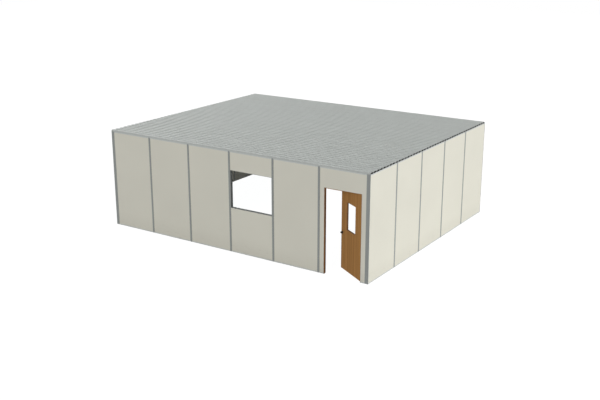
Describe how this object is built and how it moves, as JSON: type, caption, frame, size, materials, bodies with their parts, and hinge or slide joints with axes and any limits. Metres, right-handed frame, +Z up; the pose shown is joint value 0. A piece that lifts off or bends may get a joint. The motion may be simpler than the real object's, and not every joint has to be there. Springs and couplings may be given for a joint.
{
  "type": "modular in-plant office",
  "caption": "Flat-roofed modular in-plant office: slab wall panels between mullions, ribbed metal deck roof, one window and one door that swings inward.",
  "frame": {"origin": "middle of the plan at floor level, under the base tracks", "axes": "+X to the right along the front wall, +Y from the front wall to the back wall, +Z up"},
  "size_m": [7.4012, 6.09, 2.4764],
  "materials": {
    "panel": "smooth vinyl face over a honeycomb core, warm light grey",
    "mullion": "satin mid grey paint",
    "track": "satin light grey galvanised sheet",
    "deck": "galvanised sheet, matt light grey",
    "joist": "galvanised sheet, matt light grey",
    "window_frame": "satin mid grey paint",
    "glass": "clear float glass",
    "door_wood": "oiled wood veneer with upright grain",
    "door_frame": "brown painted steel",
    "hinge": "satin steel",
    "knob": "dark bronze finish"
  },
  "bodies": {
    "building": {"front_panel_1": "panel", "front_panel_2": "panel", "front_panel_3": "panel", "front_panel_5": "panel", "window_panel_lower": "panel", "window_panel_upper": "panel", "door_panel_left": "panel", "door_panel_right": "panel", "door_panel_head": "panel", "back_wall_panels": "panel", "left_wall_panels": "panel", "right_wall_panels": "panel", "front_mullions": "mullion", "back_mullions": "mullion", "left_mullions": "mullion", "right_mullions": "mullion", "corner_post_front_left": "mullion", "corner_post_front_right": "mullion", "corner_post_back_left": "mullion", "corner_post_back_right": "mullion", "front_base_track": "track", "back_base_track": "track", "side_base_tracks": "track", "front_top_track": "track", "back_top_track": "track", "side_top_tracks": "track", "roof_joists": "joist", "roof_sheet_1": "deck", "roof_sheet_2": "deck", "roof_sheet_3": "deck", "roof_sheet_4": "deck", "roof_sheet_5": "deck", "roof_sheet_6": "deck", "roof_sheet_7": "deck", "roof_sheet_8": "deck", "roof_sheet_9": "deck", "roof_sheet_10": "deck", "roof_sheet_11": "deck", "window_rails": "window_frame", "window_stiles": "window_frame", "window_glass": "glass", "door_jambs": "door_frame", "door_head": "door_frame", "door_hinges": "hinge"},
    "door": {"door_leaf": "door_wood", "door_hinge_plates": "hinge", "door_lite_frame": "door_frame", "door_glass": "glass", "door_roses": "knob"},
    "knob": {"door_knobs": "knob"}
  },
  "joints": [
    {"name": "door_swing", "type": "hinge", "parent": "building", "child": "door", "pos_m": [3.4991, -2.9583, 0.99], "axis": [0, 0, -1], "range_deg": [-32.5, 57.5]},
    {"name": "knob_turn", "type": "hinge", "parent": "door", "child": "knob", "pos_m": [2.76368, -2.52417, 0.86], "axis": [-0.5373, -0.8434, 0], "range_deg": [-60, 60], "stiffness_Nm_per_rad": 0.4}
  ]
}
